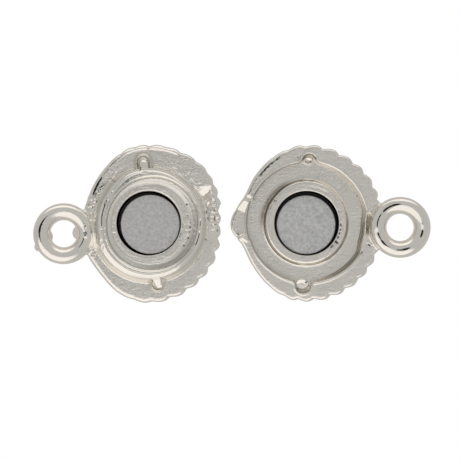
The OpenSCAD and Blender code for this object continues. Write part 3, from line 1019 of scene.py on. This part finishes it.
def magnet_metal(name, low, high, offset):
    """Satin plating of a disc magnet, with a fine mottle and faint wear."""
    material, tree, shader = new_material(name)
    link = tree.links.new
    place = object_place(tree, (offset, 0.01, 0))
    cloud = noise_value(tree, place, 3200, 5, 0.75)
    speck = noise_value(tree, place, 4200, 3, 0.6)
    link(ramp(tree, cloud, [(0.3, low), (0.7, high)]), shader.inputs["Base Color"])
    shader.inputs["Metallic"].default_value = 1.0
    link(mix_number(tree, speck, 0.38, 0.56), shader.inputs["Roughness"])
    bump = node(tree, "ShaderNodeBump", in_Strength=0.5, in_Distance=0.00003)
    link(speck, bump.inputs["Height"])
    link(bump.outputs["Normal"], shader.inputs["Normal"])
    return material


def disc(name, centre, top_z):
    """A disc magnet with a small bevel round both faces."""
    bevel = 0.09
    rings = [
        (1.0, 0.0), (2.0, 0.0), (MAGNET_R - 2.2 * bevel, 0.0),
        (MAGNET_R - bevel, -0.006), (MAGNET_R - 0.55 * bevel, -0.028),
        (MAGNET_R - 0.2 * bevel, -0.06), (MAGNET_R, -bevel - 0.03),
        (MAGNET_R, -1.0), (MAGNET_R, bevel + 0.03 - MAGNET_T),
        (MAGNET_R - 0.3 * bevel, 0.03 - MAGNET_T), (MAGNET_R - bevel, -MAGNET_T),
        (1.5, -MAGNET_T),
    ]
    steps = 160
    verts, faces = [(0, 0, 0), (0, 0, -MAGNET_T)], []
    for r, z in rings:
        for n in range(steps):
            a = 2 * math.pi * n / steps
            verts.append((r * math.cos(a), r * math.sin(a), z))
    for n in range(steps):
        m = (n + 1) % steps
        faces.append((0, 2 + n, 2 + m))
        for k in range(len(rings) - 1):
            lo, hi = 2 + k * steps, 2 + (k + 1) * steps
            faces.append((lo + n, hi + n, hi + m, lo + m))
        last = 2 + (len(rings) - 1) * steps
        faces.append((1, last + m, last + n))
    mesh = bpy.data.meshes.new(name)
    places = [((centre[0] + x) * MM, (centre[1] + y) * MM, (top_z + z) * MM) for x, y, z in verts]
    mesh.from_pydata(places, [], faces)
    mesh.shade_smooth()
    return add_object(name, mesh)


def white_floor():
    """A wide floor, white to the camera and a duller white to the metal."""
    mesh = bpy.data.meshes.new("floor")
    mesh.from_pydata([(-3, -3, 0), (3, -3, 0), (3, 3, 0), (-3, 3, 0)], [], [(0, 1, 2, 3)])
    obj = add_object("floor", mesh)
    material, tree, shader = new_material("floor_white")
    link = tree.links.new
    shown = node(tree, "ShaderNodeEmission", in_Color=(1, 1, 1, 1))
    seen = node(tree, "ShaderNodeEmission", in_Color=(1, 0.985, 0.96, 1), in_Strength=0.56)
    path = node(tree, "ShaderNodeLightPath")
    mixer = node(tree, "ShaderNodeMixShader")
    link(path.outputs["Is Camera Ray"], mixer.inputs["Fac"])
    link(seen.outputs["Emission"], mixer.inputs[1])
    link(shown.outputs["Emission"], mixer.inputs[2])
    link(mixer.outputs["Shader"], tree.nodes["Material Output"].inputs["Surface"])
    tree.nodes.remove(shader)
    mesh.materials.append(material)
    return obj


def toward(azimuth, zenith):
    """Unit vector at an azimuth from +X and an angle from straight up, in degrees."""
    a, z = math.radians(azimuth), math.radians(zenith)
    return (math.cos(a) * math.sin(z), math.sin(a) * math.sin(z), math.cos(z))


def sky():
    """Light tent round the object: a window-like bright side towards the viewer, a
    bright band low at the far side, grey walls, and the dark camera overhead."""
    world = bpy.data.worlds.new("tent")
    bpy.context.scene.world = world
    world.use_nodes = True
    tree = world.node_tree
    link = tree.links.new
    place = node(tree, "ShaderNodeTexCoord")

    def patch(centre, inner, outer, stretch):
        """1 inside an angle of inner degrees from centre, 0 outside outer."""
        where = place.outputs["Generated"]
        if stretch:
            scale = node(tree, "ShaderNodeVectorMath", operation="MULTIPLY")
            scale.inputs[1].default_value = stretch
            link(where, scale.inputs[0])
            unit = node(tree, "ShaderNodeVectorMath", operation="NORMALIZE")
            link(scale.outputs["Vector"], unit.inputs[0])
            where = unit.outputs["Vector"]
        dot = node(tree, "ShaderNodeVectorMath", operation="DOT_PRODUCT")
        dot.inputs[1].default_value = centre
        link(where, dot.inputs[0])
        start, end = math.cos(math.radians(outer)), math.cos(math.radians(inner))
        edge = node(tree, "ShaderNodeMapRange", in_From_Min=start, in_From_Max=end)
        edge.interpolation_type = "SMOOTHSTEP"
        link(dot.outputs["Value"], edge.inputs["Value"])
        return edge.outputs["Result"]

    # Bright side, far band and camera: centre, inner and outer angle, stretch, colour
    layers = [
        (toward(250, 45), 31, 42, None, (1.0, 0.975, 0.955)),
        (toward(90, 84), 20, 36, (0.7, 1, 1), (1.04, 1.03, 1.01)),
        (toward(158, 11), 7.2, 9.4, None, (0.01, 0.009, 0.009)),
    ]
    colour = node(tree, "ShaderNodeRGB").outputs["Color"]
    colour.default_value = (0.52, 0.524, 0.522, 1)
    for centre, inner, outer, stretch, value in layers:
        colour = mix_colour(tree, patch(centre, inner, outer, stretch), colour, value)
    link(colour, tree.nodes["Background"].inputs["Color"])


def main_camera():
    """Camera straight above the clasp, as in the photograph."""
    seen_width, height, sensor = 0.046, 0.34, 36
    camera = bpy.data.cameras.new("camera")
    camera.sensor_width = sensor
    camera.lens = sensor * height / seen_width
    camera.clip_start, camera.clip_end = 0.01, 10
    obj = add_object("camera", camera)
    obj.location = (-0.00019, -0.000615, FACE_Z * MM + height)
    bpy.context.scene.camera = obj


plug = cast_half("plug_casting", 0, plug_field, PLUG_AT, PLUG_TURN, PLUG_ROUGH, 0.005)
socket = cast_half(
    "socket_casting", 1, socket_field, SOCKET_AT, SOCKET_TURN, SOCKET_ROUGH, 0.0025
)

plug.data.materials.append(silver(
    "plug_silver", satin_rough=0.29, polish_rough=0.08, grain=(0.16, 0.65), streak=0.45,
    tint=[(0.87, 0.83, 0.765), (0.93, 0.89, 0.825)], offset=0.0,
))
socket.data.materials.append(silver(
    "socket_silver", satin_rough=0.29, polish_rough=0.07, grain=(0.1, 0.9), streak=0.42,
    tint=[(0.87, 0.83, 0.765), (0.92, 0.88, 0.815)], offset=0.05,
))

for obj, node_name, slot_name in (
    (plug, "plug_half", "plug_silver"),
    (socket, "socket_half", "socket_silver"),
):
    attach(obj, "root")
    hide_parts(node_name)

for node_name, sink, low, high in (
    ("plug_magnet", PLUG_SINK, (0.52, 0.51, 0.5), (0.8, 0.79, 0.775)),
    ("socket_magnet", SOCKET_SINK, (0.47, 0.47, 0.47), (0.84, 0.84, 0.835)),
):
    lo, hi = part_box(node_name)
    middle = ((lo + hi) / 2) / MM
    magnet = disc(node_name + "_disc", (middle.x, middle.y), FACE_Z - sink)
    magnet.data.materials.append(magnet_metal(node_name + "_plating", low, high, sink))
    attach(magnet, "root")
    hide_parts(node_name)

floor = white_floor()
sky()
main_camera()
scene = bpy.context.scene
scene.view_settings.view_transform = "Standard"
scene.view_settings.look = "None"
scene.cycles.max_bounces = 8
scene.cycles.glossy_bounces = 6
